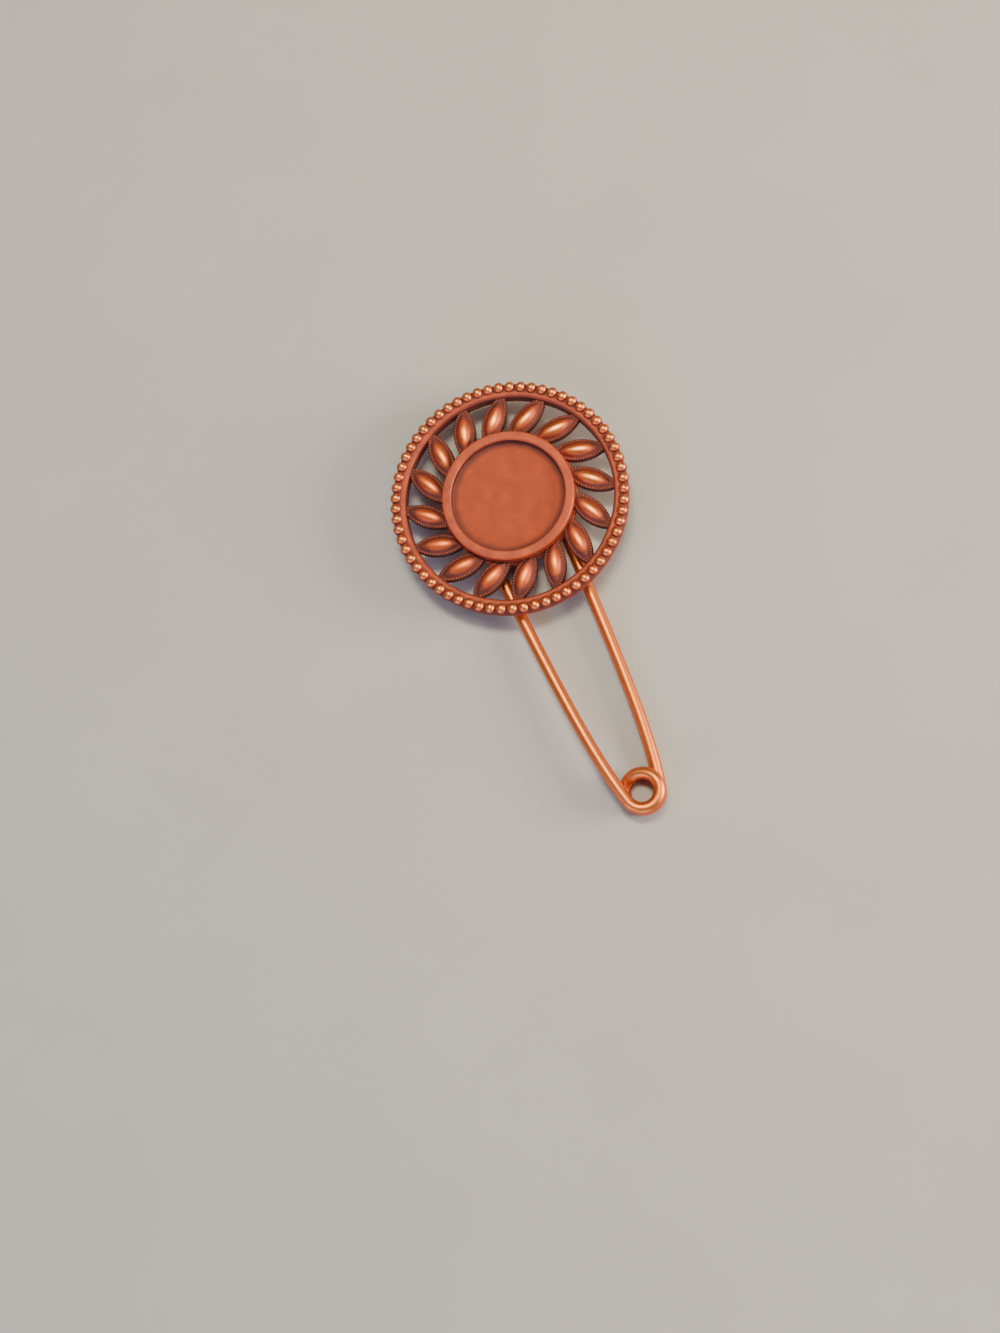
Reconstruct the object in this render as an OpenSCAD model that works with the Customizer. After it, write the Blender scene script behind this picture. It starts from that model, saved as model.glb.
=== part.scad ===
// Kilt pin: a round openwork head with a tray for a flat-backed stone, on the front of a
// coiled wire pin. Millimetres, +Z up. The pin lies on its back: its coil and clasp touch z = 0,
// the tray faces up, and the coil end points to -Y. The origin is under the middle of the whole
// outline.

/* [Tray] */
// Radius of the tray's straight inner wall, for a stone of 18 mm
tray_r = 9.1; // [8.6:0.05:9.4]
// Thickness of the tray's wall
tray_wall = 1.55; // [1.3:0.05:1.6]
// Height of the tray's floor above the head's back
floor_h = 2; // [1.7:0.1:2.1]
// Height of the tray's rounded rim above the head's back
tray_h = 3.2; // [3.1:0.1:3.6]

/* [Rim] */
// Inner radius of the outer rim's smooth lip
lip_r = 16.75; // [16.4:0.05:17.1]
// Radius of the rim's outer wall
rim_r = 19; // [18.7:0.05:19.05]
// Height of the smooth lip above the head's back
lip_h = 2.3; // [2:0.1:2.5]
// Number of beads round the rim
bead_count = 65; // [60:1:66]
// Radius of the ring that the beads' middles stand on
bead_ring = 18.35; // [18.2:0.05:18.5]
// Length of a bead, measured outwards
bead_len = 1.86; // [1.6:0.02:2]
// Width of a bead, measured round the rim
bead_w = 1.68; // [1.5:0.02:1.72]

/* [Petals] */
// Number of petals between the tray and the rim
petal_count = 16; // [14:1:16]
// Distance of a petal's middle from the head's middle
petal_mid = 13.36; // [13.2:0.02:13.6]
// Lean of a petal from the outward direction
petal_lean = 30; // [27:1:33]
// Length of a petal's flat leaf, tip to tip
leaf_len = 9.3; // [9:0.1:9.5]
// Width of the leaf
leaf_w = 3.6; // [3.2:0.1:3.7]
// Height of the leaf's face above the head's back
leaf_h = 1.7; // [1.4:0.1:1.8]
// Length of the raised dome, where it leaves the leaf's face
dome_len = 6.2; // [5.6:0.1:6.6]
// Width of the dome there
dome_w = 2.6; // [2.2:0.1:2.7]
// Height of the dome above the leaf's face
dome_h = 0.75; // [0.6:0.05:0.9]

/* [Pin wire] */
// Radius of the pin's wire
wire_r = 0.95; // [0.85:0.05:0.95]
// Radius of the coil, to the middle of the wire
coil_r = 2.73; // [2.65:0.01:2.9]
// Distance from the head's middle to the coil's middle
coil_dist = 50.9; // [47:0.1:55]
// Lean of an arm where it leaves the coil
flare = 14; // [12:0.5:17]
// Lean of the fixed arm near the clasp
fixed_lean = 2.9; // [2:0.1:3.2]
// Lean of the needle near the clasp
needle_lean = 1.5; // [1.2:0.1:2]
// Length over which an arm bends from one lean to the other
bend_len = 9; // [8:0.5:10]
// Length of the needle's taper
taper_len = 11; // [7:0.5:14]

/* [Clasp] */
// Thickness of the clasp's sheet
sheet = 0.55; // [0.45:0.05:0.6]
// Distance of the clasp's coil side from the head's middle, towards the coil
clasp_front = 4; // [3:0.2:5]
// Distance of the clasp's far side from the head's middle, away from the coil
clasp_back = 5.6; // [5:0.2:6]
// Free space round the needle in the catch
catch_gap = 0.1; // [0.08:0.01:0.15]
// How steeply the needle goes down and inwards when it is let out of the catch
let_out = 60; // [50:1:60]
// How far the catch's lip runs that way, past its round part
lip_len = 0.75; // [0.5:0.05:0.8]

/* [Hidden] */
$fn = 64;
copper = [0.72, 0.42, 0.30];
dark_copper = [0.62, 0.34, 0.24];

// Levels: the clasp's sheet passes under the wire, and the head's back lies on the clasp
wire_z = sheet + 0.02 + wire_r;
back_z = wire_z + 0.02 + wire_r + sheet;
turn_gap = 0.05;
low_z = wire_r;
high_z = low_z + 2 * wire_r + turn_gap;

// Places along Y, with the whole outline centred on y = 0
head_reach = max(rim_r, bead_ring + bead_len / 2);
head_y = (coil_dist + coil_r + wire_r - head_reach) / 2;
coil_y = head_y - coil_dist;

// Turn of the first petal's inner tip and of the first bead, from +X towards +Y
petal_turn = 1.38;
bead_turn = -0.31;

// Sizes of the small forms
corner = 0.3;
floor_round = 0.2;
collar_r = tray_r + tray_wall + 0.35;
collar_h = 1.35;
leaf_back = 0.6;
dome_root = 0.3;
bead_sunk = 0.1;
lip_round = 0.5;
lip_inset = 0.01;
lip_root = 0.1;
end_gap = 0.05;
tip_r = 0.12;
tip_room = 1.1;
sides = 16;

// How far an arm stands from the middle line, s being its distance from the coil along Y and
// lean its lean near the clasp
start_x = coil_r * cos(flare);
start_y = coil_y - coil_r * sin(flare);
function arm_x(s, lean) = start_x + tan(lean) * s
    + (tan(flare) - tan(lean)) * bend_len * (1 - exp(-s / bend_len));
// Its height, which leaves the coil level and comes level into the clasp
clasp_s = head_y - clasp_front - start_y;
function ease(u) = let (v = min(max(u, 0), 1)) v * v * (3 - 2 * v);
function arm_z(s, from) = from + (wire_z - from) * ease(s / (clasp_s - 0.5));
// A point of either arm, the fixed one at -X and the needle at +X. Inside the clasp they run straight
fixed_wide = arm_x(clasp_s, fixed_lean);
needle_wide = arm_x(clasp_s, needle_lean);
function arm_point(s, side, from) = [
    side * arm_x(min(s, clasp_s), side < 0 ? fixed_lean : needle_lean),
    start_y + s,
    arm_z(s, from)];

// The coil: level under the upper arm, sloping down over the far half, level again below.
// a is the turn from +X, and runs from one arm's foot to the other's
function coil_point(a) = [coil_r * cos(a), coil_y + coil_r * sin(a),
    high_z + (low_z - high_z) * ease((a - 360) / 180)];

function unit(v) = v / norm(v);

// The needle's hinge: at its foot, on the side that it turns towards, so that its end opens away
// from the coil. The axis is square to the needle and to the way out of the catch
needle_long = head_y + clasp_back - tip_room - start_y;
way_out = [-cos(let_out), 0, -sin(let_out)];
hinge_at = [start_x, start_y, low_z] + wire_r * way_out;
hinge_axis = unit(cross(arm_point(needle_long, 1, low_z) - [start_x, start_y, low_z], way_out));

function arm_dir(s, side, from) = unit(arm_point(s + 0.01, side, from) - arm_point(s - 0.01, side, from));
function coil_dir(a) = unit(coil_point(a + 0.1) - coil_point(a - 0.1));
// A ring of points of radius r at p, square to the direction d
function ring(p, d, r) = let (u = unit(cross(d, [0, 0, 1])), v = cross(u, d))
    [for (k = [0:sides - 1]) p + r * (cos(360 * k / sides) * u + sin(360 * k / sides) * v)];

// A round wire through the points, with a direction and a radius at each one
module wire(points, dirs, radii) {
    last = len(points) - 1;
    rings = [for (i = [0:last]) ring(points[i], dirs[i], radii[i])];
    skin = [for (i = [0:last - 1]) for (k = [0:sides - 1])
        let (a = i * sides + k, b = i * sides + (k + 1) % sides)
        [a, b, b + sides, a + sides]];
    start = [[for (k = [sides - 1:-1:0]) k]];
    finish = [[for (k = [0:sides - 1]) last * sides + k]];
    polyhedron(points = [for (r = rings) each r], faces = concat(skin, start, finish));
}

// A leaf outline with two pointed ends, its long way along X
module leaf(long, wide) {
    r = (long * long + wide * wide) / (4 * wide);
    intersection() {
        translate([0, r - wide / 2]) circle(r, $fn = 180);
        translate([0, wide / 2 - r]) circle(r, $fn = 180);
    }
}

// A spindle along X, its side an arc of radius bow, its pointed ends cut to small flats. Share is how
// much of its length is left
module spindle(wide, bow, share) {
    long = 2 * share * sqrt(bow * bow - pow(bow - wide / 2, 2));
    rotate([0, 90, 0]) rotate_extrude($fn = 48) intersection() {
        translate([wide / 2 - bow, 0]) circle(bow, $fn = 180);
        translate([0, -long / 2]) square([wide, long]);
    }
}

module tray() {
    out_r = tray_r + tray_wall;
    rotate_extrude($fn = 180) difference() {
        union() {
            square([out_r, tray_h - corner]);
            translate([tray_r + corner, 0]) square([tray_wall - 2 * corner, tray_h]);
            translate([tray_r + corner, tray_h - corner]) circle(corner);
            translate([out_r - corner, tray_h - corner]) circle(corner);
        }
        translate([-1, floor_h]) square([tray_r + 1 - floor_round, tray_h]);
        translate([-1, floor_h + floor_round]) square([tray_r + 1, tray_h - corner - floor_h - floor_round]);
        translate([tray_r - floor_round, floor_h + floor_round]) circle(floor_round);
    }
}

module collar() {
    inner = tray_r + tray_wall - 0.3;
    rotate_extrude($fn = 180)
        polygon([[inner, 0.3], [collar_r, 0.3], [collar_r, collar_h - 0.25],
            [collar_r - 0.25, collar_h], [inner, collar_h]]);
}

module rim() {
    rotate_extrude($fn = 180) union() {
        translate([lip_r, 0]) square([rim_r - lip_r, lip_h - lip_round]);
        translate([lip_r + lip_round, 0]) square([rim_r - lip_r - 2 * lip_round, lip_h]);
        for (r = [lip_r + lip_round, rim_r - lip_round])
            translate([r, lip_h - lip_round]) circle(lip_round);
    }
}

module bead() {
    share = 0.893;
    full = bead_len / share;
    bow = (full * full + bead_w * bead_w) / (4 * bead_w);
    translate([bead_ring, 0, lip_h - bead_sunk]) spindle(bead_w, bow, share);
}

// A flat leaf with a dome on it, the dome being the top of a spindle sunk into the leaf
module petal() {
    across = (dome_w * dome_w / 4 + dome_h * dome_h) / (2 * dome_h);
    bow = (dome_len * dome_len / 4 + dome_h * dome_h) / (2 * dome_h);
    translate([petal_mid, 0, 0]) rotate([0, 0, -petal_lean]) {
        translate([0, 0, leaf_back]) linear_extrude(leaf_h - leaf_back) leaf(leaf_len, leaf_w);
        intersection() {
            translate([0, 0, leaf_h + dome_h - across]) spindle(2 * across, bow, 0.97);
            translate([-leaf_len / 2, -leaf_w / 2, leaf_h - dome_root])
                cube([leaf_len, leaf_w, 2 * dome_root + dome_h]);
        }
    }
}

// The cast head: tray, petals and beaded rim in one
module head() {
    // a petal's middle lies this far round from its inner tip
    swing = atan2(leaf_len / 2 * sin(petal_lean), petal_mid - leaf_len / 2 * cos(petal_lean));
    color(copper) translate([0, head_y, back_z]) union() {
        tray();
        collar();
        rim();
        for (i = [0:petal_count - 1])
            rotate([0, 0, petal_turn - swing + 360 / petal_count * i]) petal();
        for (i = [0:bead_count - 1])
            rotate([0, 0, bead_turn + 360 / bead_count * i]) bead();
    }
}

// The clasp: one folded sheet, closed round the fixed arm's end, with a catch for the needle.
// The catch's lip slopes inwards, along the way that the needle takes when it is let out. It
// reaches lip_root into the catch's round part, so that both stay one solid at every size.
module clasp() {
    hold_r = wire_r + 0.02;
    free_r = wire_r + catch_gap;
    color(dark_copper) translate([0, head_y - clasp_front, 0]) mirror([0, 1, 0]) rotate([90, 0, 0])
        linear_extrude(clasp_front + clasp_back) union() {
            difference() {
                translate([-fixed_wide, wire_z]) circle(hold_r + sheet);
                translate([-fixed_wide, wire_z]) circle(hold_r);
                translate([-fixed_wide + 0.3, wire_z - 3]) square([3, 3 + hold_r]);
            }
            difference() {
                translate([needle_wide, wire_z]) circle(free_r + sheet);
                translate([needle_wide, wire_z]) circle(free_r);
                translate([needle_wide - 3, wire_z - 3]) square([3, 3 + hold_r]);
                translate([needle_wide, wire_z]) rotate(let_out - 90) translate([0, -4]) square([4, 4]);
                translate([needle_wide - 3, back_z]) square([6, 3]);
            }
            translate([needle_wide, wire_z]) rotate(let_out - 90)
                translate([free_r + lip_inset, -lip_len]) square([sheet - 2 * lip_inset, lip_len + lip_root]);
            translate([-fixed_wide, back_z - sheet]) square([fixed_wide + needle_wide, sheet]);
        }
}

// The fixed arm, which carries the head
module fixed_arm() {
    long = head_y + clasp_back - 0.4 - start_y;
    n = 26;
    stops = [for (i = [0:n]) end_gap + (long - end_gap) * i / n];
    color(copper) wire([for (s = stops) arm_point(s, -1, high_z)],
        [for (s = stops) arm_dir(s, -1, high_z)], [for (s = stops) wire_r]);
}

// The spring coil, about one and a half turns
module coil() {
    first = 180 + flare;
    whole = 540 - 2 * flare;
    n = 44;
    turns = [for (i = [0:n]) first + whole * i / n];
    color(copper) wire([for (a = turns) coil_point(a)], [for (a = turns) coil_dir(a)],
        [for (a = turns) wire_r]);
}

// The needle, from the coil to its point inside the catch
module needle_arm() {
    long = needle_long;
    n = 18;
    m = 8;
    stops = concat(
        [for (i = [0:n]) end_gap + (long - taper_len - end_gap) * i / n],
        [for (i = [1:m]) long - taper_len + taper_len * i / m]);
    thick = concat(
        [for (i = [0:n]) wire_r],
        [for (i = [1:m]) wire_r + (tip_r - wire_r) * pow(i / m, 1.4)]);
    color(copper) wire([for (s = stops) arm_point(s, 1, low_z)],
        [for (s = stops) arm_dir(s, 1, low_z)], thick);
}

head();
clasp();
fixed_arm();
coil();
needle_arm();
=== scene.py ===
"""Kilt pin lying on its back: a cast head with a tray for a stone, on the front of a coiled wire pin.

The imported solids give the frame, in metres, with +Z up and the coil towards -Y. Each operator dresses
one group of pieces in that frame, and the stage operator sets the floor, the lights and the camera.
"""

import math

import bmesh
import bpy
from bpy.props import FloatProperty, FloatVectorProperty, IntProperty, PointerProperty
from mathutils import Matrix, Vector, noise
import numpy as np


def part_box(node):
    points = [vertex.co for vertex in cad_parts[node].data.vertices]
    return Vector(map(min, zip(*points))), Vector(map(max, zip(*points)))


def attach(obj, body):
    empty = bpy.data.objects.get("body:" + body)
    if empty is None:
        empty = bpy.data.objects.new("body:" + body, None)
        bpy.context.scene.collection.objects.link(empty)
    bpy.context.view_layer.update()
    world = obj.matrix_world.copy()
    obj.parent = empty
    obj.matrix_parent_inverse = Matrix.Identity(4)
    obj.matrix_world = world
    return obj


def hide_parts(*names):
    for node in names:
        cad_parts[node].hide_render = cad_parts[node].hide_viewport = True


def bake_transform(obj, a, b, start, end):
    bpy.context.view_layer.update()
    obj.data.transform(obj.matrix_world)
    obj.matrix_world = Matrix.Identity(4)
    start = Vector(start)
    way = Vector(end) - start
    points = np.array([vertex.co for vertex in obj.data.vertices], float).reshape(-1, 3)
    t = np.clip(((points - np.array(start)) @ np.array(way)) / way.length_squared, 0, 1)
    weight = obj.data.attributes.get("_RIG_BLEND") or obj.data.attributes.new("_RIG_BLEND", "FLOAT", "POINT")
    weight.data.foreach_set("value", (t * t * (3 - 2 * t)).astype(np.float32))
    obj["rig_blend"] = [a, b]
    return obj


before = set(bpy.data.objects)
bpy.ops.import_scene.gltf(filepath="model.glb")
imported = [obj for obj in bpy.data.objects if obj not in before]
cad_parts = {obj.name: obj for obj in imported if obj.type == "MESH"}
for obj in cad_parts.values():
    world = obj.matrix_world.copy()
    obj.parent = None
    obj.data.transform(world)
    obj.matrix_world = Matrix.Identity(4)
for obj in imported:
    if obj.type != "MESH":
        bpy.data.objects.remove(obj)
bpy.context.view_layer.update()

bl_info = {
    "name": "Kilt pin",
    "version": (1, 0, 0),
    "blender": (4, 5, 0),
    "location": "View3D > Sidebar > Kilt pin",
    "description": "Dresses the packed solids of a kilt pin with a stone tray",
    "category": "Add Mesh",
}

HEAD_LOW, HEAD_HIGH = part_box("head")
HEAD_MIDDLE = Vector((0.0, (HEAD_LOW.y + HEAD_HIGH.y) / 2, HEAD_LOW.z))
UP = Vector((0.0, 0.0, 1.0))
PIN_BODY = "pin_frame"
NEEDLE_BODY = "needle"
# Seed of the small unevenness, so that each run gives the same mesh
NOISE_SEED = 7

# Turns of the first petal's inner tip and of the first bead, from +X towards +Y
FIRST_PETAL = math.radians(1.38)
FIRST_BEAD = math.radians(-0.31)
# Steps of a full turn round the head
ROUND_STEPS = 192
# Distance at which points are joined into one, in metres
SAME_POINT = 1e-6
# Free space between the coil's turns, and between the wire and the clasp's sheet
TURN_GAP = 0.00005
SHEET_GAP = 0.00002
# How far the fixed arm and the needle's tip stay inside the clasp's far end
FIXED_ROOM = 0.0004
TIP_ROOM = 0.0011
# The turn of the coil at which the coil's mesh ends and the needle's begins
HANDOVER = math.radians(600)
# Height up to which a point belongs to the head's back
BACK = 0.0005

# The lights: name, azimuth, elevation, distance, the two sides, heading, power and colour
LIGHTS = (
    ("window", -24.0, 18.0, 0.60, (0.26, 0.20), 66.0, 4.2, (1.0, 0.87, 0.70)),
    ("ceiling", 32.0, 76.0, 0.60, (2.2, 0.24), 139.0, 2.4, (1.0, 0.90, 0.74)),
    ("lamp", 60.0, 74.0, 0.60, (0.22, 0.09), 139.0, 2.3, (1.0, 0.94, 0.68)),
    ("room", 254.0, 16.0, 0.80, (0.18, 0.14), 164.0, 1.2, (0.80, 0.80, 1.0)),
    ("sky", 210.0, 26.0, 0.80, (0.50, 0.40), 120.0, 2.4, (0.64, 0.64, 1.0)),
)
AIR_COLOUR = (0.28, 0.26, 0.25, 1.0)
AIR_STRENGTH = 0.25

# The camera: its place, its axes, its focal length in the picture's pixels and the picture's height
CAMERA_PLACE = Vector((0.005435, -0.060286, 0.214852))
CAMERA_RIGHT = Vector((0.905476, -0.387201, -0.173747))
CAMERA_DOWN = Vector((-0.416695, -0.888766, -0.190946))
CAMERA_AHEAD = Vector((-0.080486, 0.245297, -0.966101))
FOCAL_PIXELS = 1400.0
PICTURE_HEIGHT = 1333.0
SENSOR = 36.0


def length(name, default, description):
    """A length that a user may change, in metres."""
    return FloatProperty(name=name, description=description, default=default, precision=5,
                         unit="LENGTH", subtype="DISTANCE")


def angle(name, degrees, description):
    """An angle that a user may change."""
    return FloatProperty(name=name, description=description, default=math.radians(degrees),
                         unit="ROTATION", subtype="ANGLE")


def tint(name, default, description):
    """A colour that a user may change, linear."""
    return FloatVectorProperty(name=name, description=description, default=default, size=3,
                               min=0.0, max=1.0, subtype="COLOR")


class KiltPinHeadSizes(bpy.types.PropertyGroup):
    """Sizes of the cast head, heights measured from its back."""

    tray_radius: length("Tray radius", 0.0091, "Radius of the tray's inner wall")
    tray_wall: length("Tray wall", 0.00155, "Thickness of the tray's wall")
    tray_floor: length("Tray floor", 0.0020, "Height of the tray's floor")
    tray_height: length("Tray height", 0.0032, "Height of the tray's rounded rim")
    rim_round: length("Rim rounding", 0.0003, "Radius of the tray rim's rounded edges")
    collar_width: length("Collar width", 0.00035, "How far the collar stands out from the tray")
    collar_height: length("Collar height", 0.00135, "Height of the collar's top")
    lip_radius: length("Lip radius", 0.01675, "Inner radius of the outer rim's smooth lip")
    outer_radius: length("Outer radius", 0.0190, "Radius of the rim's outer wall")
    lip_height: length("Lip height", 0.0023, "Height of the smooth lip")
    bead_count: IntProperty(name="Beads", description="Beads round the rim", default=65, min=3)
    bead_ring: length("Bead ring", 0.01835, "Radius of the ring of bead middles")
    bead_length: length("Bead length", 0.00186, "Length of a bead, measured outwards")
    bead_width: length("Bead width", 0.00168, "Width of a bead, measured round the rim")
    petal_count: IntProperty(name="Petals", description="Petals between tray and rim", default=16, min=3)
    petal_middle: length("Petal middle", 0.01336, "Distance of a petal's middle from the head's")
    petal_lean: angle("Petal lean", 30.0, "Lean of a petal from the outward direction")
    leaf_length: length("Leaf length", 0.0093, "Length of a petal's flat leaf")
    leaf_width: length("Leaf width", 0.0036, "Width of a petal's flat leaf")
    leaf_height: length("Leaf height", 0.0017, "Height of the leaf's face")
    leaf_back: length("Leaf back", 0.0006, "Height of the leaf's underside")
    dome_length: length("Dome length", 0.0062, "Length of the dome where it leaves the leaf")
    dome_width: length("Dome width", 0.0026, "Width of the dome where it leaves the leaf")
    dome_height: length("Dome height", 0.00075, "Height of the dome above the leaf's face")
    bead_sunk: length("Bead sunk", 0.0001, "Depth of a bead's middle under the smooth lip's top")
    lip_width: length("Lip width", 0.0007, "Width of the smooth lip inside the beads")
    grain_pitch: length("Grain pitch", 0.00043, "Distance between the small grains on a leaf's edge")


class KiltPinWireSizes(bpy.types.PropertyGroup):
    """Sizes of the coiled wire pin and of its clasp."""

    wire_radius: length("Wire radius", 0.00095, "Radius of the wire")
    coil_radius: length("Coil radius", 0.00273, "Radius of the coil, to the middle of the wire")
    coil_distance: length("Coil distance", 0.0509, "Distance from the head's middle to the coil's")
    flare: angle("Flare", 14.0, "Lean of an arm where it leaves the coil")
    fixed_lean: angle("Fixed arm lean", 2.9, "Lean of the fixed arm near the clasp")
    needle_lean: angle("Needle lean", 1.5, "Lean of the needle near the clasp")
    bend_length: length("Bend length", 0.009, "Length over which an arm bends")
    taper_length: length("Taper length", 0.011, "Length of the needle's taper")
    tip_radius: length("Tip radius", 0.00012, "Radius of the needle's tip")
    sheet: length("Sheet", 0.00055, "Thickness of the clasp's sheet")
    clasp_front: length("Clasp front", 0.004, "How far the clasp runs towards the coil")
    clasp_back: length("Clasp back", 0.0056, "How far the clasp runs away from the coil")
    catch_gap: length("Catch gap", 0.0001, "Free space round the needle in the catch")
    let_out: angle("Way out", 60.0, "How steeply the needle goes down when it is let out of the catch")
    lip_length: length("Catch lip", 0.00075, "How far the catch's lip runs that way")


class KiltPinFinish(bpy.types.PropertyGroup):
    """Colours of the copper and of the stage. The copper and patina colours also paint the shade and highlight
    on the wire, on the tray's floor by its wall and on the petals.
    """

    crest: tint("Crest copper", (1.0, 0.40, 0.15), "Bare copper at the very top of a worn form")
    bright: tint("Worn copper", (0.98, 0.25, 0.075), "Copper where handling has worn it bright")
    wire: tint("Wire copper", (0.98, 0.285, 0.080), "The pin wire's copper")
    warm: tint("Warm copper", (0.74, 0.130, 0.045), "The finish's own warm colour")
    brown: tint("Brown patina", (0.24, 0.066, 0.050), "Patina on the sides of the forms")
    dark: tint("Dark patina", (0.055, 0.022, 0.026), "Patina left in the recesses")
    floor: tint("Floor", (0.56, 0.55, 0.53), "The plain floor")


# Meshes


def blank():
    """An empty mesh whose points say how far they are worn bright, from 0 in a recess to 1 on a crest; on the
    wire, the tray's floor and the petals the same value also holds painted shade and highlight.
    """
    bm = bmesh.new()
    bm.verts.layers.float.new("wear_and_painted_light")
    return bm


def set_wear_and_painted_light(bm, verts, rule):
    """Gives each of the points the value that the rule finds for its place: wear, and on some pieces painted
    shade and highlight.
    """
    layer = bm.verts.layers.float["wear_and_painted_light"]
    for v in verts:
        v[layer] = min(max(rule(v.co), 0.0), 1.0)


def smooth_step(low, high, value):
    """0 below low, 1 above high, and a soft slope between them."""
    t = min(max((value - low) / (high - low), 0.0), 1.0)
    return t * t * (3 - 2 * t)


def outline(bm, corners, closed):
    """Joins corners (radius, height, rounding) in the XZ plane, and rounds each one that asks for it."""
    verts = [bm.verts.new((r, 0.0, z)) for r, z, _ in corners]
    pairs = list(zip(verts, verts[1:]))
    if closed:
        pairs.append((verts[-1], verts[0]))
    for a, b in pairs:
        bm.edges.new((a, b))
    for v, (_, _, rounding) in zip(verts, corners):
        if rounding > 0:
            bmesh.ops.bevel(bm, geom=[v], offset=rounding, offset_type="OFFSET", segments=6,
                            profile=0.5, affect="VERTICES", material=-1)


def turn(bm):
    """Spins the whole outline once round the head's axis."""
    bmesh.ops.spin(bm, geom=bm.verts[:] + bm.edges[:], cent=(0, 0, 0), axis=UP, dvec=(0, 0, 0),
                   angle=math.tau, steps=ROUND_STEPS, use_merge=True)
    bmesh.ops.remove_doubles(bm, verts=bm.verts[:], dist=SAME_POINT)


def repeat(bm, count):
    """Copies what is there round the head's axis."""
    bmesh.ops.spin(bm, geom=bm.verts[:] + bm.edges[:] + bm.faces[:], cent=(0, 0, 0), axis=UP,
                   dvec=(0, 0, 0), angle=math.tau * (count - 1) / count, steps=count - 1,
                   use_duplicate=True)


def roughen(bm, amount, size):
    """Moves the points a little, smoothly, as a casting is never quite true. Each run moves them alike."""
    noise.seed_set(NOISE_SEED)
    for v in bm.verts:
        v.co += amount * noise.noise_vector(v.co / size)


def finish(bm, name, material, body, replaces=(), sharp=40.0, extra=()):
    """Turns the mesh into a named piece that rides on a body."""
    bmesh.ops.recalc_face_normals(bm, faces=bm.faces[:])
    for f in bm.faces:
        f.smooth = True
    for e in bm.edges:
        if len(e.link_faces) == 2:
            e.smooth = e.calc_face_angle(0.0) < math.radians(sharp)
    mesh = bpy.data.meshes.new(name)
    bm.to_mesh(mesh)
    bm.free()
    piece = bpy.data.objects.new(name, mesh)
    bpy.context.scene.collection.objects.link(piece)
    for m in (material, *extra):
        mesh.materials.append(m)
    if body:
        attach(piece, body)
    if replaces:
        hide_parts(*replaces)
    return piece


# Materials


def join(tree, a, b):
    """Links an output to an input."""
    tree.links.new(a, b)


def pattern(tree, place, scale, detail=4.0, roughness=0.55):
    """A noise in the piece's own coordinates, its scale in features a metre."""
    node = tree.nodes.new("ShaderNodeTexNoise")
    node.inputs["Scale"].default_value = scale
    node.inputs["Detail"].default_value = detail
    node.inputs["Roughness"].default_value = roughness
    join(tree, place, node.inputs["Vector"])
    return node.outputs["Fac"]


def math_node(tree, operation, a, b, clamp=False):
    """Adds, multiplies or otherwise joins two values, each a socket or a number."""
    node = tree.nodes.new("ShaderNodeMath")
    node.operation = operation
    node.use_clamp = clamp
    for socket, value in zip(node.inputs, (a, b)):
        if isinstance(value, (int, float)):
            socket.default_value = value
        else:
            join(tree, value, socket)
    return node.outputs[0]


def around_zero(tree, value, amount):
    """A pattern moved to lie evenly about 0, and scaled."""
    return math_node(tree, "MULTIPLY", math_node(tree, "SUBTRACT", value, 0.5), amount)


def spread(tree, value, low, high, to_low, to_high):
    """Maps a value from one range to another."""
    node = tree.nodes.new("ShaderNodeMapRange")
    node.inputs["From Min"].default_value = low
    node.inputs["From Max"].default_value = high
    node.inputs["To Min"].default_value = to_low
    node.inputs["To Max"].default_value = to_high
    join(tree, value, node.inputs["Value"])
    return node.outputs["Result"]


def ramp(tree, value, stops):
    """A colour ramp through (place, colour) stops."""
    node = tree.nodes.new("ShaderNodeValToRGB")
    band = node.color_ramp
    while len(band.elements) < len(stops):
        band.elements.new(0.5)
    for element, (place, colour) in zip(band.elements, stops):
        element.position = place
        element.color = (*colour, 1.0)
    join(tree, value, node.inputs["Fac"])
    return node.outputs["Color"]


def copper(name, stops, mottle, rough, grain, grain_depth, metal=(0.45, 1.0)):
    """Antiqued copper: colour, metal and gloss follow the piece's wear, and on some pieces its painted light,
    broken up by patches and grain.

    stops are (wear and painted light, colour) pairs, mottle how far the patches change that value, rough the
    roughness of the recesses and of the crests, grain the size of the cast grain in metres, metal how metallic
    the recesses and the crests are.
    """
    material = bpy.data.materials.new(name)
    material.use_nodes = True
    tree = material.node_tree
    shader = tree.nodes["Principled BSDF"]
    place = tree.nodes.new("ShaderNodeTexCoord").outputs["Object"]
    worn_and_painted_light = tree.nodes.new("ShaderNodeAttribute")
    worn_and_painted_light.attribute_name = "wear_and_painted_light"
    patches = pattern(tree, place, 420.0, 3.0)
    specks = pattern(tree, place, 2600.0, 4.0, 0.65)
    fine = pattern(tree, place, 1.0 / grain, 3.0, 0.6)
    wear_and_painted_light = math_node(tree, "ADD", worn_and_painted_light.outputs["Fac"], around_zero(tree, patches, mottle))
    wear_and_painted_light = math_node(tree, "ADD", wear_and_painted_light, around_zero(tree, specks, mottle * 0.9), clamp=True)
    join(tree, ramp(tree, wear_and_painted_light, stops), shader.inputs["Base Color"])
    join(tree, spread(tree, wear_and_painted_light, 0.05, 0.8, *metal), shader.inputs["Metallic"])
    gloss = spread(tree, wear_and_painted_light, 0.0, 1.0, *rough)
    gloss = math_node(tree, "ADD", gloss, around_zero(tree, specks, 0.22), clamp=True)
    join(tree, gloss, shader.inputs["Roughness"])
    bump = tree.nodes.new("ShaderNodeBump")
    bump.inputs["Strength"].default_value = 1.0
    bump.inputs["Distance"].default_value = grain_depth
    join(tree, math_node(tree, "ADD", fine, math_node(tree, "MULTIPLY", patches, 2.0)), bump.inputs["Height"])
    join(tree, bump.outputs["Normal"], shader.inputs["Normal"])
    return material


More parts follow.
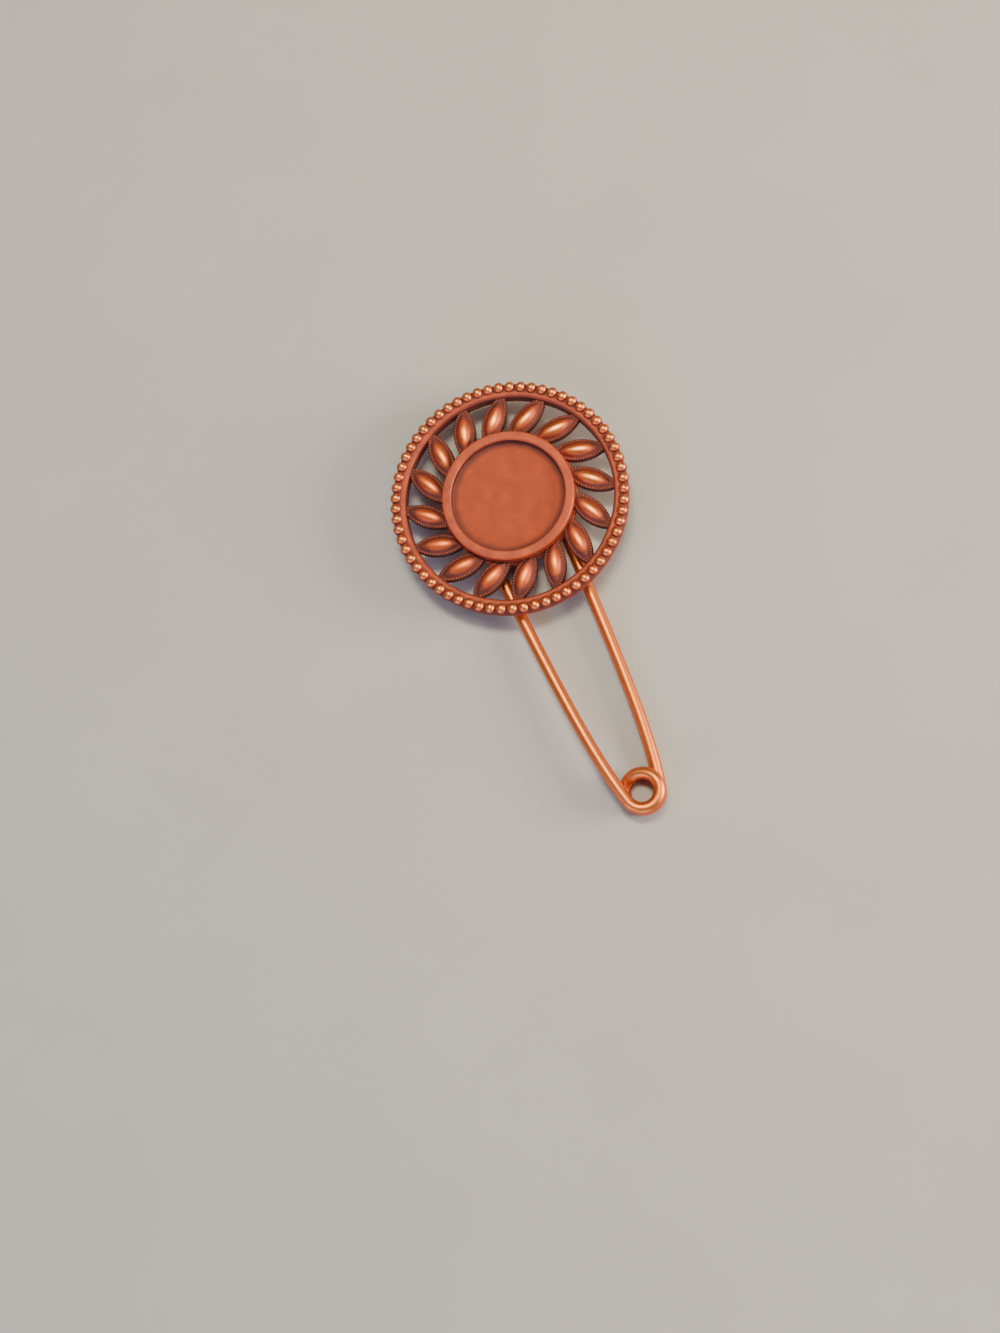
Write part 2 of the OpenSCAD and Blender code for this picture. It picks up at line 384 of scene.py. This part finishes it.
def cast_copper(look, name="antique_cast_copper", crest_rough=0.34):
    """The head's finish: bright crests, red-brown flanks and dark recesses."""
    stops = [(0.0, look.dark), (0.32, look.brown), (0.60, look.warm), (0.86, look.bright), (1.0, look.crest)]
    return copper(name, stops, 0.26, (0.80, crest_rough), 0.00016, 0.000006)


def bead_copper(look):
    """The beads' finish: the head's, with softer crests."""
    return cast_copper(look, "antique_bead_copper", 0.39)


def tray_copper(look):
    """The tray's floor: duller and more even, for glue and not for show."""
    stops = [(0.0, look.dark), (0.35, look.brown), (0.75, look.warm), (1.0, look.bright)]
    return copper("matte_tray_copper", stops, 0.24, (0.80, 0.60), 0.00022, 0.000008)


def wire_copper(look):
    """The pin's wire: smooth and warm."""
    stops = [(0.0, look.dark), (0.25, look.brown), (0.55, look.warm), (0.9, look.wire)]
    return copper("warm_wire_copper", stops, 0.20, (0.60, 0.41), 0.0003, 0.000004)


def floor_paint(look):
    """The plain floor, with a faint unevenness."""
    material = bpy.data.materials.new("plain_floor")
    material.use_nodes = True
    tree = material.node_tree
    shader = tree.nodes["Principled BSDF"]
    place = tree.nodes.new("ShaderNodeTexCoord").outputs["Object"]
    patches = pattern(tree, place, 30.0, 3.0)
    paler = tuple(min(c * 1.05, 1.0) for c in look.floor)
    stops = [(0.3, look.floor), (0.7, paler)]
    join(tree, ramp(tree, patches, stops), shader.inputs["Base Color"])
    shader.inputs["Roughness"].default_value = 0.85
    return material


def kept(name, make):
    """The named material, made once."""
    return bpy.data.materials.get(name) or make(bpy.context.scene.kilt_pin_finish)


# The head's forms


def arc_radius(long, wide):
    """Radius of the two arcs of a pointed oval of that length and width."""
    return (long * long + wide * wide) / (4 * wide)


def pointed_oval(bm, long, wide, height, steps=30):
    """The edges of a pointed oval along X: one arc is spun from a point, and its mirror image closes it."""
    radius = arc_radius(long, wide)
    reach = 2 * math.asin(long / 2 / radius)
    before = set(bm.verts)
    first = bm.verts.new((-long / 2, 0.0, height))
    bmesh.ops.spin(bm, geom=[first], cent=(0, wide / 2 - radius, height), axis=-UP, dvec=(0, 0, 0),
                   angle=reach, steps=steps)
    arc = [v for v in bm.verts if v not in before]
    edges = list({e for v in arc for e in v.link_edges})
    bmesh.ops.mirror(bm, geom=arc + edges, matrix=Matrix.Identity(4), merge_dist=SAME_POINT, axis="Y")
    both = [v for v in bm.verts if v not in before]
    bmesh.ops.remove_doubles(bm, verts=both, dist=SAME_POINT)
    both = [v for v in bm.verts if v not in before]
    return list({e for v in both for e in v.link_edges})


def spindle(bm, wide, bow, along, around, base):
    """The upper half of a pointed spindle along X, its side an arc of radius bow, its middle line at base."""
    reach = 2 * math.acos(1 - wide / 2 / bow)
    first = bm.verts.new((-bow * math.sin(reach / 2), 0.0, base))
    bmesh.ops.spin(bm, geom=[first], cent=(0, wide / 2 - bow, base), axis=-UP, dvec=(0, 0, 0),
                   angle=reach, steps=along)
    edges = {e for v in bm.verts for e in v.link_edges if not e.link_faces}
    verts = {v for e in edges for v in e.verts}
    bmesh.ops.spin(bm, geom=list(verts) + list(edges), cent=(0, 0, base), axis=(1, 0, 0),
                   dvec=(0, 0, 0), angle=math.pi, steps=around)


def petal_place(size):
    """Where the first petal stands, from its own middle to the head's."""
    half = size.leaf_length / 2
    swing = math.atan2(half * math.sin(size.petal_lean),
                       size.petal_middle - half * math.cos(size.petal_lean))
    first = FIRST_PETAL - swing
    return (Matrix.Rotation(first, 4, "Z") @ Matrix.Translation((size.petal_middle, 0, 0))
            @ Matrix.Rotation(-size.petal_lean, 4, "Z"))


class KILTPIN_OT_tray(bpy.types.Operator):
    """Make the tray for the stone and the collar round it"""

    bl_idname = "kiltpin.tray"
    bl_label = "Tray"

    def execute(self, context):
        size = context.scene.kilt_pin_head
        outer = size.tray_radius + size.tray_wall
        bm = blank()
        outline(bm, [
            (0.0, size.tray_floor, 0),
            (size.tray_radius * 0.6, size.tray_floor, 0),
            (size.tray_radius - 0.0011, size.tray_floor, 0),
            (size.tray_radius, size.tray_floor, 0.0003),
            (size.tray_radius, size.tray_height, size.rim_round),
            (outer, size.tray_height, size.rim_round),
            (outer, 0.0, 0.00015),
            (0.0, 0.0, 0)], closed=False)
        turn(bm)

        fillet = size.tray_radius - 0.0001
        shade_from, shade_to = size.tray_radius - 0.0011, size.tray_radius - 0.0002

        def rule(p):
            """Painted shadow of the wall darkens the floor by the corner, over the patina there; darker round
            the foot, brighter on the floor and the rim.
            """
            r = math.hypot(p.x, p.y)
            if p.z < BACK:
                return 0.46
            # Painted shadow: the floor darkens towards the wall, where the wall's shadow falls, over the patina
            # in the corner.
            if r < fillet and p.z < size.tray_floor + 0.0002:
                return 0.54 - 0.24 * smooth_step(shade_from, shade_to, r)
            if r <= size.tray_radius + 0.0001:
                return 0.17 + 0.50 * smooth_step(size.tray_height - 0.00035, size.tray_height - 0.00002, p.z)
            if r < outer - size.rim_round:
                return 0.44
            return 0.16 + 0.40 * smooth_step(size.collar_height + 0.0008, size.tray_height - 0.0001, p.z)

        set_wear_and_painted_light(bm, bm.verts, rule)
        bm.transform(Matrix.Translation(HEAD_MIDDLE))
        piece = finish(bm, "head_tray", kept("antique_cast_copper", cast_copper), PIN_BODY,
                       replaces=["head"], extra=[kept("matte_tray_copper", tray_copper)])
        for face in piece.data.polygons:
            c = face.center - HEAD_MIDDLE
            if abs(c.z - size.tray_floor) < 0.00002:
                face.material_index = 1

        bm = blank()
        inner = outer - 0.0003
        wide = outer + size.collar_width
        outline(bm, [
            (inner, 0.0003, 0),
            (wide, 0.0003, 0.0001),
            (wide, size.collar_height, 0.00025),
            (inner, size.collar_height, 0)], closed=True)
        turn(bm)
        set_wear_and_painted_light(bm, bm.verts, lambda p: 0.25 + 0.25 * smooth_step(outer, wide, math.hypot(p.x, p.y)))
        bm.transform(Matrix.Translation(HEAD_MIDDLE))
        finish(bm, "head_collar", kept("antique_cast_copper", cast_copper), PIN_BODY)
        return {"FINISHED"}


class KILTPIN_OT_petals(bpy.types.Operator):
    """Make the petals between the tray and the rim"""

    bl_idname = "kiltpin.petals"
    bl_label = "Petals"

    def execute(self, context):
        size = context.scene.kilt_pin_head
        bm = blank()
        top = size.leaf_height
        long, wide = size.leaf_length, size.leaf_width
        # Length, width, height and wear of each ring, from the leaf's underside up into the dome
        rings = (
            (long - 0.0002, wide - 0.0002, size.leaf_back, 0.40),
            (long, wide, size.leaf_back + 0.00012, 0.20),
            (long, wide, top - 0.00022, 0.10),
            (long - 0.0001, wide - 0.0001, top - 0.00008, 0.14),
            (long - 0.00028, wide - 0.00028, top, 0.16),
            (size.dome_length + 0.0007, size.dome_width + 0.0004, top, 0.26),
            (size.dome_length + 0.0003, size.dome_width + 0.00018, top + 0.00003, 0.30),
            (size.dome_length, size.dome_width, top + 0.0001, 0.32),
            (size.dome_length - 0.0003, size.dome_width - 0.00022, top + 0.00022, 0.34),
            (size.dome_length - 0.0008, size.dome_width - 0.0006, top + 0.0003, 0.36))
        loops = [pointed_oval(bm, *ring[:3]) for ring in rings]
        for loop, ring in zip(loops, rings):
            set_wear_and_painted_light(bm, {v for e in loop for v in e.verts}, lambda p, worn_and_painted_light=ring[3]: worn_and_painted_light)
        for lower, upper in zip(loops, loops[1:]):
            bmesh.ops.bridge_loops(bm, edges=lower + upper)
        for loop in (loops[0], loops[-1]):
            bmesh.ops.contextual_create(bm, geom=loop)
        high = size.dome_height
        across = (size.dome_width ** 2 / 4 + high ** 2) / (2 * high)
        bow = (size.dome_length ** 2 / 4 + high ** 2) / (2 * high)
        dome = blank()
        spindle(dome, 2 * across, bow, 46, 28, top + high - across)
        bmesh.ops.remove_doubles(dome, verts=dome.verts[:], dist=SAME_POINT / 10)
        set_wear_and_painted_light(dome, dome.verts, lambda p: 0.26 + 0.72 * smooth_step(0.25, 0.95, (p.z - top) / high))
        mesh = bpy.data.meshes.new("dome")
        dome.to_mesh(mesh)
        dome.free()
        bm.from_mesh(mesh)
        bpy.data.meshes.remove(mesh)
        bm.transform(petal_place(size))
        repeat(bm, size.petal_count)
        # Painted light: petals towards 30 degrees, where the lights are, keep their value, and those towards 210
        # degrees are painted up to a fifth darker as painted shade.
        layer = bm.verts.layers.float["wear_and_painted_light"]
        for v in bm.verts:
            v[layer] *= 0.90 + 0.10 * math.cos(math.atan2(v.co.y, v.co.x) - math.radians(30))
        bm.transform(Matrix.Translation(HEAD_MIDDLE))
        roughen(bm, 0.00002, 0.0015)
        finish(bm, "head_petals", kept("antique_cast_copper", cast_copper), PIN_BODY)
        return {"FINISHED"}


class KILTPIN_OT_grains(bpy.types.Operator):
    """Make the row of small grains along both edges of each petal"""

    bl_idname = "kiltpin.grains"
    bl_label = "Grains"

    def execute(self, context):
        size = context.scene.kilt_pin_head
        radius = arc_radius(size.leaf_length, size.leaf_width)
        reach = math.asin(size.leaf_length / 2 / radius)
        # How far the grains stand in from the leaf's edge, and the share of the edge that has them
        inside = radius - 0.00030
        share = 0.80
        grain = Matrix.Diagonal((0.00014, 0.00025, 0.00011, 1.0))
        count = int(2 * share * reach * inside / size.grain_pitch)
        bm = blank()
        for side in (1, -1):
            for k in range(count):
                a = reach * share * (2 * k / (count - 1) - 1)
                x = inside * math.sin(a)
                y = side * (inside * math.cos(a) - (radius - size.leaf_width / 2))
                spot = Matrix.Translation((x, y, size.leaf_height - 0.00002))
                spot @= Matrix.Rotation(-side * a, 4, "Z")
                spot @= grain
                bmesh.ops.create_uvsphere(bm, u_segments=8, v_segments=6, radius=1.0, matrix=spot)
        top = size.leaf_height
        set_wear_and_painted_light(bm, bm.verts, lambda p: 0.10 + 0.42 * smooth_step(0.00002, 0.00008, p.z - top))
        bm.transform(petal_place(size))
        repeat(bm, size.petal_count)
        bm.transform(Matrix.Translation(HEAD_MIDDLE))
        finish(bm, "head_milgrain", kept("antique_cast_copper", cast_copper), PIN_BODY)
        return {"FINISHED"}


class KILTPIN_OT_rim(bpy.types.Operator):
    """Make the outer rim and the beads that stand on it"""

    bl_idname = "kiltpin.rim"
    bl_label = "Rim and beads"

    def execute(self, context):
        size = context.scene.kilt_pin_head
        bm = blank()
        lip_out = size.lip_radius + size.lip_width
        top = size.lip_height
        outline(bm, [
            (size.lip_radius, 0.0, 0.00015),
            (size.outer_radius, 0.0, 0.00015),
            (size.outer_radius, top, 0.0005),
            (lip_out + 0.0003, top, 0),
            (lip_out, top, 0),
            (size.lip_radius, top, 0.0005)], closed=True)
        turn(bm)

        def rim_rule(p):
            """Dark walls, and a warmer lip inside the beads."""
            r = math.hypot(p.x, p.y)
            if p.z < 0.0002:
                return 0.44
            if r > lip_out:
                return 0.16 + 0.10 * smooth_step(top - 0.0008, top - 0.0001, p.z)
            return 0.16 + 0.26 * smooth_step(top - 0.0007, top - 0.00005, p.z)

        set_wear_and_painted_light(bm, bm.verts, rim_rule)
        bm.transform(Matrix.Translation(HEAD_MIDDLE))
        finish(bm, "head_rim", kept("antique_cast_copper", cast_copper), PIN_BODY)

        bm = blank()
        middle = size.lip_height - size.bead_sunk
        half = Vector((size.bead_length / 2, size.bead_width / 2))
        shape = Matrix.Translation((size.bead_ring, 0, middle)) @ Matrix.Diagonal((half.x, half.y, half.y, 1))
        bmesh.ops.create_uvsphere(bm, u_segments=20, v_segments=12, radius=1.0, matrix=shape)

        def bead_rule(p):
            """Bright on top, and darker where beads meet."""
            side = abs(p.y) / half.y
            high = (p.z - middle) / half.y
            return 0.26 + 0.72 * smooth_step(0.22, 0.88, high) - 0.10 * smooth_step(0.75, 1.0, side)

        set_wear_and_painted_light(bm, bm.verts, bead_rule)
        bm.transform(Matrix.Rotation(FIRST_BEAD, 4, "Z"))
        repeat(bm, size.bead_count)
        bm.transform(Matrix.Translation(HEAD_MIDDLE))
        roughen(bm, 0.00003, 0.0012)
        finish(bm, "head_beads", kept("antique_bead_copper", bead_copper), PIN_BODY)
        return {"FINISHED"}


# The wire


class WirePath:
    """The line of the bent wire: down the fixed arm, round the coil and up the needle."""

    def __init__(self, size):
        self.size = size
        self.r = size.wire_radius
        self.low = self.r
        self.high = 3 * self.r + TURN_GAP
        self.level = size.sheet + SHEET_GAP + self.r
        self.coil_y = HEAD_MIDDLE.y - size.coil_distance
        self.start_x = size.coil_radius * math.cos(size.flare)
        self.start_y = self.coil_y - size.coil_radius * math.sin(size.flare)
        self.clasp_run = HEAD_MIDDLE.y - size.clasp_front - self.start_y
        self.fixed_long = HEAD_MIDDLE.y + size.clasp_back - FIXED_ROOM - self.start_y
        self.needle_long = HEAD_MIDDLE.y + size.clasp_back - TIP_ROOM - self.start_y

    def wide(self, s, lean):
        """How far an arm stands from the middle line, s being its distance from the coil along Y."""
        s = min(s, self.clasp_run)
        bend = self.size.bend_length
        return (self.start_x + math.tan(lean) * s
                + (math.tan(self.size.flare) - math.tan(lean)) * bend * (1 - math.exp(-s / bend)))

    def arm(self, s, side, low):
        """A point of an arm, side -1 for the fixed one."""
        lean = self.size.fixed_lean if side < 0 else self.size.needle_lean
        z = low + (self.level - low) * smooth_step(0, 1, s / (self.clasp_run - 0.0005))
        return Vector((side * self.wide(s, lean), self.start_y + s, z))

    def coil(self, a):
        """A point of the coil, at the turn a from +X."""
        z = self.high + (self.low - self.high) * smooth_step(math.tau, 3 * math.pi, a)
        return Vector((self.size.coil_radius * math.cos(a),
                       self.coil_y + self.size.coil_radius * math.sin(a), z))


def tube(bm, points, radii, sides=28):
    """Sweeps a round ring along the points, and closes both ends."""
    count = len(points)
    ways = [(points[min(i + 1, count - 1)] - points[max(i - 1, 0)]).normalized() for i in range(count)]

    def station(i):
        across = ways[i].cross(UP).normalized()
        over = across.cross(ways[i])
        turned = Matrix((across, over, ways[i])).transposed().to_4x4()
        return Matrix.Translation(points[i]) @ turned @ Matrix.Diagonal((radii[i], radii[i], radii[i], 1.0))

    ring = bmesh.ops.create_circle(bm, cap_ends=False, segments=sides, radius=1.0, matrix=station(0))["verts"]
    edges = list({e for v in ring for e in v.link_edges})
    first = list(edges)
    for i in range(1, count):
        made = bmesh.ops.extrude_edge_only(bm, edges=edges)["geom"]
        verts = [g for g in made if isinstance(g, bmesh.types.BMVert)]
        edges = [g for g in made if isinstance(g, bmesh.types.BMEdge) and all(v in verts for v in g.verts)]
        bmesh.ops.transform(bm, matrix=station(i) @ station(i - 1).inverted(), verts=verts)
    bmesh.ops.holes_fill(bm, edges=first + edges, sides=sides)


def span(start, stop, count):
    """Evenly spaced values, both ends among them."""
    return [start + (stop - start) * i / count for i in range(count + 1)]


class KILTPIN_OT_wire(bpy.types.Operator):
    """Make the coiled wire pin, its fixed arm, its coil and its needle"""

    bl_idname = "kiltpin.wire"
    bl_label = "Wire pin"

    def execute(self, context):
        size = context.scene.kilt_pin_wire
        path = WirePath(size)
        finish_copper = kept("warm_wire_copper", wire_copper)
        turn_in = math.pi + size.flare
        turn_out = 2 * math.tau - size.flare

        def worn_and_painted_light(bm):
            """Painted light: bright along the top of the wire as a painted highlight, warmer and darker towards
            its sides and back as painted shade.
            """
            bmesh.ops.recalc_face_normals(bm, faces=bm.faces[:])
            bm.normal_update()
            layer = bm.verts.layers.float["wear_and_painted_light"]
            for v in bm.verts:
                v[layer] = 0.46 + 0.46 * smooth_step(0.0, 0.85, v.normal.z)

        def piece(name, points, radii, body, node):
            """One length of the wire, in the place of that solid."""
            bm = blank()
            tube(bm, points, radii)
            worn_and_painted_light(bm)
            return finish(bm, name, finish_copper, body, replaces=[node])

        # Steps along the arm, the coil, the needle's root, its straight part and its taper
        arm_steps, coil_steps, root_steps, run_steps, taper_steps = 120, 110, 30, 110, 24
        taper_power = 1.4

        fixed = [path.arm(s, -1, path.high) for s in span(path.fixed_long, 0.0, arm_steps)]
        piece("fixed_arm_wire", fixed, [path.r] * len(fixed), PIN_BODY, "fixed_arm")

        coil = [path.coil(a) for a in span(turn_in, HANDOVER, coil_steps)]
        piece("coil_wire", coil, [path.r] * len(coil), PIN_BODY, "coil")

        needle = [path.coil(a) for a in span(HANDOVER, turn_out, root_steps)[:-1]]
        straight = path.needle_long - size.taper_length
        needle += [path.arm(s, 1, path.low) for s in span(0.0, straight, run_steps)]
        radii = [path.r] * len(needle)
        for t in span(0.0, 1.0, taper_steps)[1:]:
            needle.append(path.arm(straight + size.taper_length * t, 1, path.low))
            radii.append(path.r + (size.tip_radius - path.r) * t ** taper_power)
        needle_wire = piece("needle_wire", needle, radii, None, "needle_arm")
        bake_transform(needle_wire, PIN_BODY, NEEDLE_BODY, start=(path.start_x, path.start_y - 0.0006, path.low),
                 end=(path.start_x, path.start_y + 0.008, path.low))
        return {"FINISHED"}


class KILTPIN_OT_clasp(bpy.types.Operator):
    """Fold the sheet clasp round the fixed arm and into the catch for the needle"""

    bl_idname = "kiltpin.clasp"
    bl_label = "Clasp"

    def execute(self, context):
        size = context.scene.kilt_pin_wire
        path = WirePath(size)
        near = HEAD_MIDDLE.y - size.clasp_front
        hold = path.r + SHEET_GAP
        free = path.r + size.catch_gap
        fixed = Vector((-path.wide(path.clasp_run, size.fixed_lean), near, path.level))
        catch = Vector((path.wide(path.clasp_run, size.needle_lean), near, path.level))
        top = math.asin(hold / free)
        end = size.let_out - math.pi / 2
        bm = blank()

        def place(middle, radius, turned):
            """The point at that turn of a circle round the middle, in the XZ plane."""
            return middle + radius * Vector((math.cos(turned), 0.0, math.sin(turned)))

        def bend(vert, middle, reach, steps):
            """Carries the line on round the middle, and gives its new end."""
            made = bmesh.ops.spin(bm, geom=[vert], cent=middle, axis=(0, 1, 0), dvec=(0, 0, 0),
                                  angle=reach, steps=steps)["geom_last"]
            return next(g for g in made if isinstance(g, bmesh.types.BMVert))

        def straight(vert, goal):
            """Carries the line straight on to the goal, and gives its new end."""
            made = bmesh.ops.extrude_vert_indiv(bm, verts=[vert])["verts"]
            made[0].co = goal
            return made[0]

        # The sheet's free edge under the fixed arm, as a turn round the arm
        start = math.radians(-76)
        rounded = 0.00008
        last = bend(bm.verts.new(place(fixed, hold, start)), fixed, start + 1.5 * math.pi, 26)
        last = straight(last, place(catch, free, top))
        last = bend(last, catch, top - end, 16)
        straight(last, last.co + size.lip_length * Vector((math.sin(end), 0.0, -math.cos(end))))
        made = bmesh.ops.extrude_edge_only(bm, edges=bm.edges[:])["geom"]
        far = [g for g in made if isinstance(g, bmesh.types.BMVert)]
        bmesh.ops.translate(bm, vec=(0, size.clasp_front + size.clasp_back, 0), verts=far)
        bmesh.ops.remove_doubles(bm, verts=bm.verts[:], dist=SAME_POINT / 10)
        bmesh.ops.recalc_face_normals(bm, faces=bm.faces[:])
        widest = max(bm.faces, key=lambda f: f.calc_area())
        if widest.normal.z < 0:
            bmesh.ops.reverse_faces(bm, faces=bm.faces[:])
        bmesh.ops.solidify(bm, geom=bm.faces[:], thickness=-size.sheet)
        bmesh.ops.recalc_face_normals(bm, faces=bm.faces[:])
        sharp = [e for e in bm.edges if len(e.link_faces) == 2 and e.calc_face_angle(0.0) > math.radians(60)]
        bmesh.ops.bevel(bm, geom=sharp, offset=rounded, offset_type="OFFSET", segments=2, profile=0.5,
                        affect="EDGES", material=-1, clamp_overlap=True)
        middle = HEAD_MIDDLE.y + (size.clasp_back - size.clasp_front) / 2
        half = (size.clasp_back + size.clasp_front) / 2
        set_wear_and_painted_light(bm, bm.verts, lambda p: 0.42 + 0.2 * abs(p.y - middle) / half)
        finish(bm, "clasp_sheet", kept("warm_wire_copper", wire_copper), PIN_BODY,
               replaces=["clasp"], sharp=30.0)
        return {"FINISHED"}


# The stage


def area_light(name, aim, azimuth, elevation, distance, sides, heading, power, colour):
    """A soft light of those two sides that looks at the aim; its long side lies along the heading."""
    lamp = bpy.data.lights.new(name, "AREA")
    lamp.shape = "RECTANGLE"
    lamp.size, lamp.size_y = sides
    lamp.energy = power
    lamp.color = colour
    light = bpy.data.objects.new(name, lamp)
    bpy.context.scene.collection.objects.link(light)
    a, e, h = math.radians(azimuth), math.radians(elevation), math.radians(heading)
    away = Vector((math.cos(a) * math.cos(e), math.sin(a) * math.cos(e), math.sin(e)))
    across = away.cross(Vector((math.cos(h), math.sin(h), 0.0))).normalized()
    turned = Matrix((across.cross(away), across, away)).transposed().to_4x4()
    light.matrix_world = Matrix.Translation(aim + distance * away) @ turned


class KILTPIN_OT_stage(bpy.types.Operator):
    """Set the plain floor, the soft lights and the camera"""

    bl_idname = "kiltpin.stage"
    bl_label = "Stage"

    def execute(self, context):
        scene = context.scene
        look = scene.kilt_pin_finish
        bm = bmesh.new()
        bmesh.ops.create_grid(bm, x_segments=1, y_segments=1, size=1.5)
        mesh = bpy.data.meshes.new("floor")
        bm.to_mesh(mesh)
        bm.free()
        floor = bpy.data.objects.new("floor", mesh)
        scene.collection.objects.link(floor)
        mesh.materials.append(floor_paint(look))

        aim = HEAD_MIDDLE.copy()
        for name, *values in LIGHTS:
            area_light(name, aim, *values)
        world = scene.world or bpy.data.worlds.new("room")
        scene.world = world
        world.use_nodes = True
        back = world.node_tree.nodes["Background"]
        back.inputs["Color"].default_value = AIR_COLOUR
        back.inputs["Strength"].default_value = AIR_STRENGTH

        lens = bpy.data.cameras.new("camera")
        lens.sensor_fit = "AUTO"
        lens.sensor_width = SENSOR
        lens.lens = FOCAL_PIXELS * SENSOR / PICTURE_HEIGHT
        lens.clip_start = 0.005
        camera = bpy.data.objects.new("camera", lens)
        scene.collection.objects.link(camera)
        turned = Matrix((CAMERA_RIGHT, -CAMERA_DOWN, -CAMERA_AHEAD)).transposed().to_4x4()
        camera.matrix_world = Matrix.Translation(CAMERA_PLACE) @ turned
        scene.camera = camera
        return {"FINISHED"}


class KILTPIN_PT_panel(bpy.types.Panel):
    """Sizes, colours and steps of the kilt pin"""

    bl_idname = "KILTPIN_PT_panel"
    bl_label = "Kilt pin"
    bl_space_type = "VIEW_3D"
    bl_region_type = "UI"
    bl_category = "Kilt pin"

    def draw(self, context):
        scene = context.scene
        for title, group in (("Head", scene.kilt_pin_head), ("Wire", scene.kilt_pin_wire),
                             ("Finish", scene.kilt_pin_finish)):
            box = self.layout.box()
            box.label(text=title)
            for name in group.__annotations__:
                box.prop(group, name)
        for operator in OPERATORS:
            self.layout.operator(operator.bl_idname)


GROUPS = (KiltPinHeadSizes, KiltPinWireSizes, KiltPinFinish)
OPERATORS = (KILTPIN_OT_tray, KILTPIN_OT_petals, KILTPIN_OT_grains, KILTPIN_OT_rim, KILTPIN_OT_wire,
             KILTPIN_OT_clasp, KILTPIN_OT_stage)


def register():
    """Registers the classes and the three groups of settings."""
    for cls in (*GROUPS, *OPERATORS, KILTPIN_PT_panel):
        bpy.utils.register_class(cls)
    bpy.types.Scene.kilt_pin_head = PointerProperty(type=KiltPinHeadSizes)
    bpy.types.Scene.kilt_pin_wire = PointerProperty(type=KiltPinWireSizes)
    bpy.types.Scene.kilt_pin_finish = PointerProperty(type=KiltPinFinish)


def unregister():
    """Takes the settings and the classes away again."""
    del bpy.types.Scene.kilt_pin_finish
    del bpy.types.Scene.kilt_pin_wire
    del bpy.types.Scene.kilt_pin_head
    for cls in reversed((*GROUPS, *OPERATORS, KILTPIN_PT_panel)):
        bpy.utils.unregister_class(cls)


def main():
    """Registers the add-on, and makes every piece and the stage."""
    register()
    bpy.ops.kiltpin.tray()
    bpy.ops.kiltpin.petals()
    bpy.ops.kiltpin.grains()
    bpy.ops.kiltpin.rim()
    bpy.ops.kiltpin.wire()
    bpy.ops.kiltpin.clasp()
    bpy.ops.kiltpin.stage()


if __name__ == "__main__":
    main()
